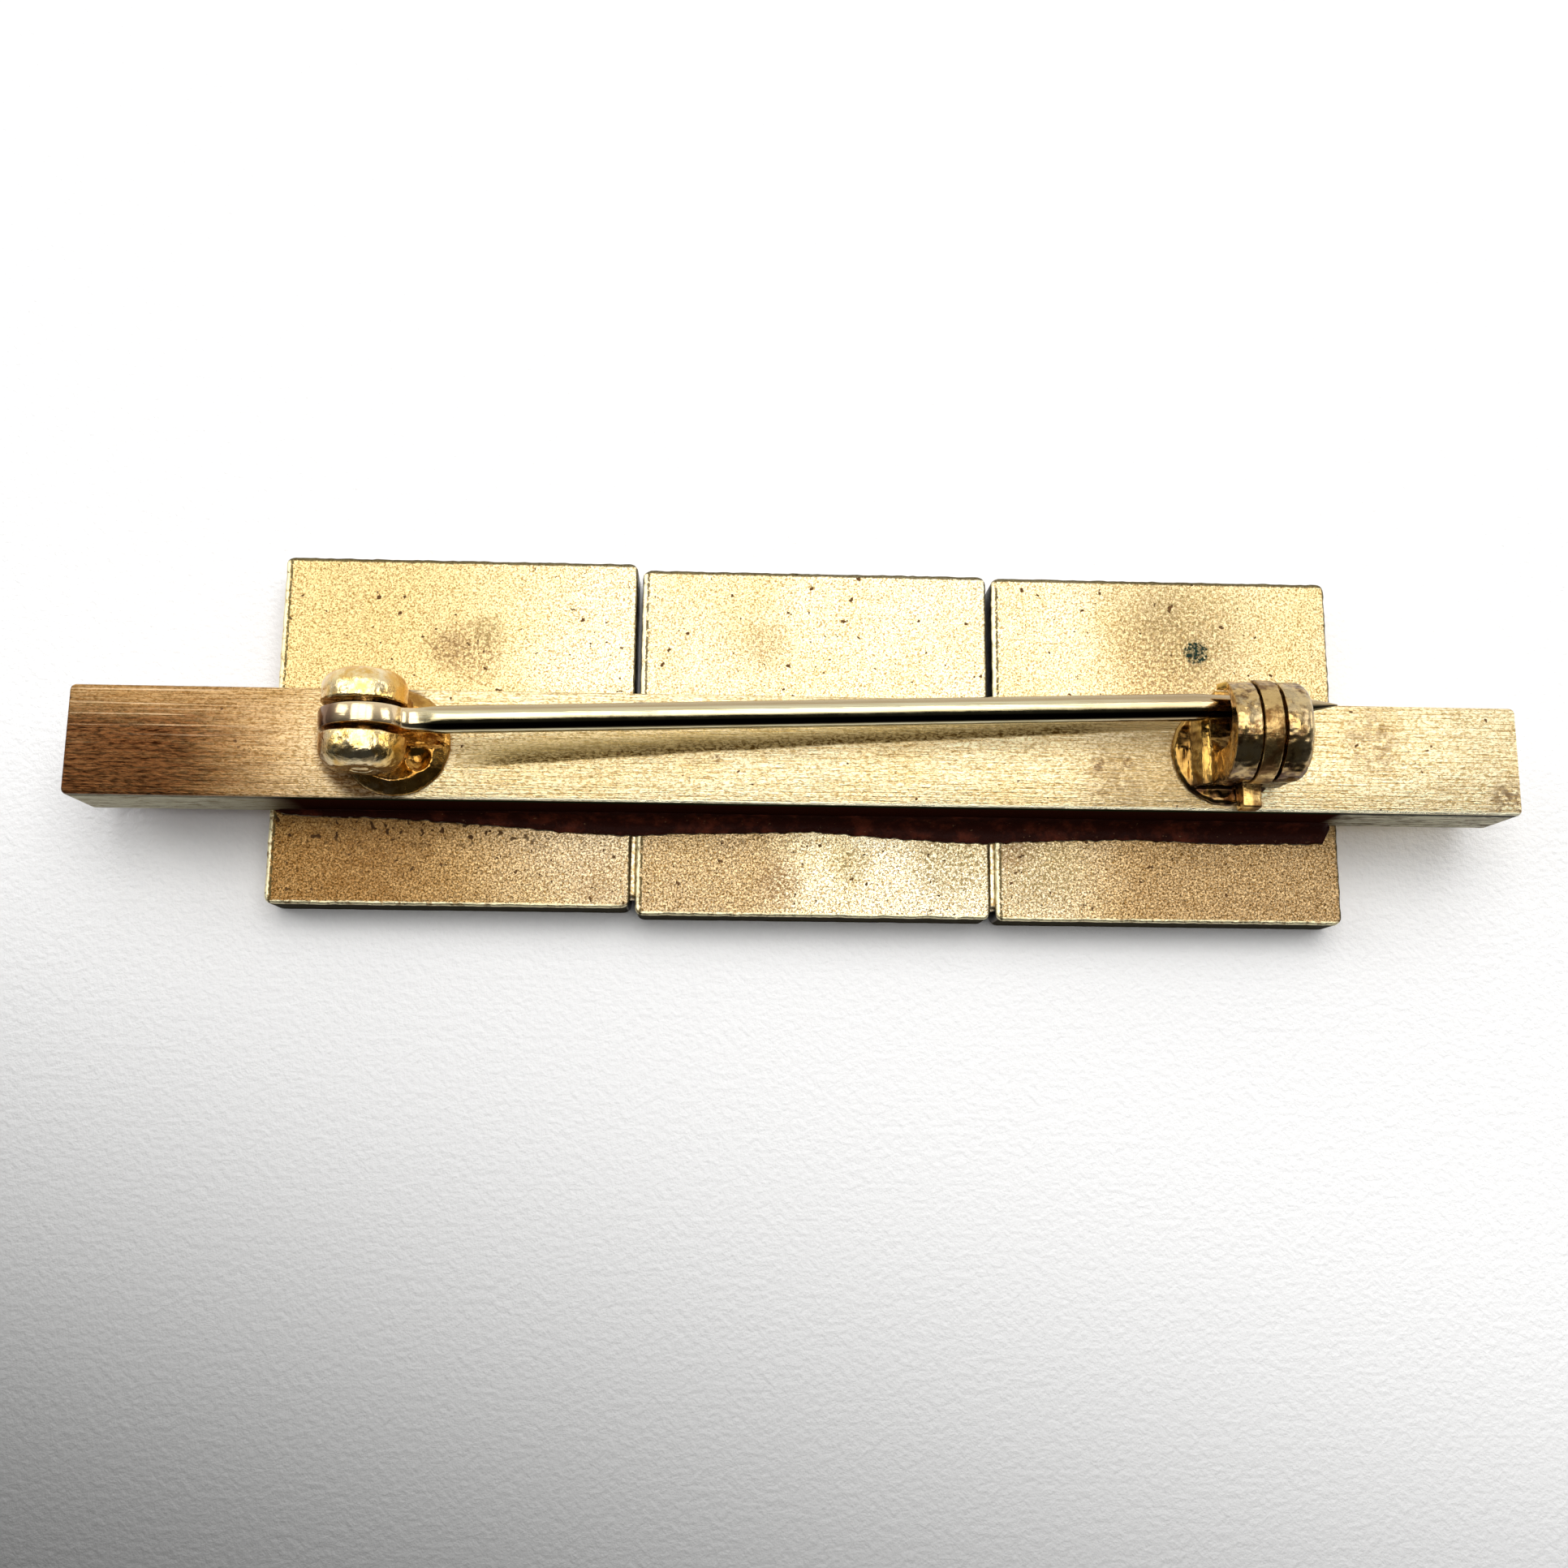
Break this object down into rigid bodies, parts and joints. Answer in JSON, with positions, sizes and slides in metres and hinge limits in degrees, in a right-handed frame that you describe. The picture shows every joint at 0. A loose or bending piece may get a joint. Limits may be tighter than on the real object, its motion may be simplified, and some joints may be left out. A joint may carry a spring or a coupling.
{
  "type": "bar brooch",
  "caption": "Bar brooch lying face down: square metal plates soldered to a long bar, with a barrel hinge, a long pin stem and a roll-over safety catch.",
  "frame": {"origin": "middle of the plates' outline, on the front faces the brooch lies on", "axes": "+X along the bar towards the catch, +Y across the bar towards the side the stem is pressed in from, +Z out of the back, towards the pin"},
  "size_m": [0.06, 0.0156, 0.0098],
  "materials": {
    "plates": "fine-grained satin gilt with tarnish specks",
    "bar": "lengthwise brushed gilt, copper-brown where worn",
    "findings": "polished gilt, worn pale on the catch",
    "stem": "bright drawn wire, pale gold"
  },
  "bodies": {
    "brooch": {"plate_left": "plates", "plate_middle": "plates", "plate_right": "plates", "back_bar": "bar", "hinge": "findings", "catch_housing": "findings"},
    "rivet": {"hinge_rivet": "findings"},
    "stem": {"pin_stem": "stem"},
    "roller": {"catch_roller": "findings"}
  },
  "joints": [
    {"name": "pin_lift", "type": "hinge", "parent": "brooch", "child": "rivet", "pos_m": [-0.0175, -0.00076, 0.00745], "axis": [0, -1, 0], "range_deg": [0, 110]},
    {"name": "pin_sway", "type": "hinge", "parent": "rivet", "child": "stem", "pos_m": [-0.0175, -0.00076, 0.00745], "axis": [0, 0, 1], "range_deg": [0, 2.6], "stiffness_Nm_per_rad": 0.01},
    {"name": "catch_turn", "type": "hinge", "parent": "brooch", "child": "roller", "pos_m": [0.0182, -0.00068, 0.00775], "axis": [-1, 0, 0], "range_deg": [0, 110]}
  ]
}
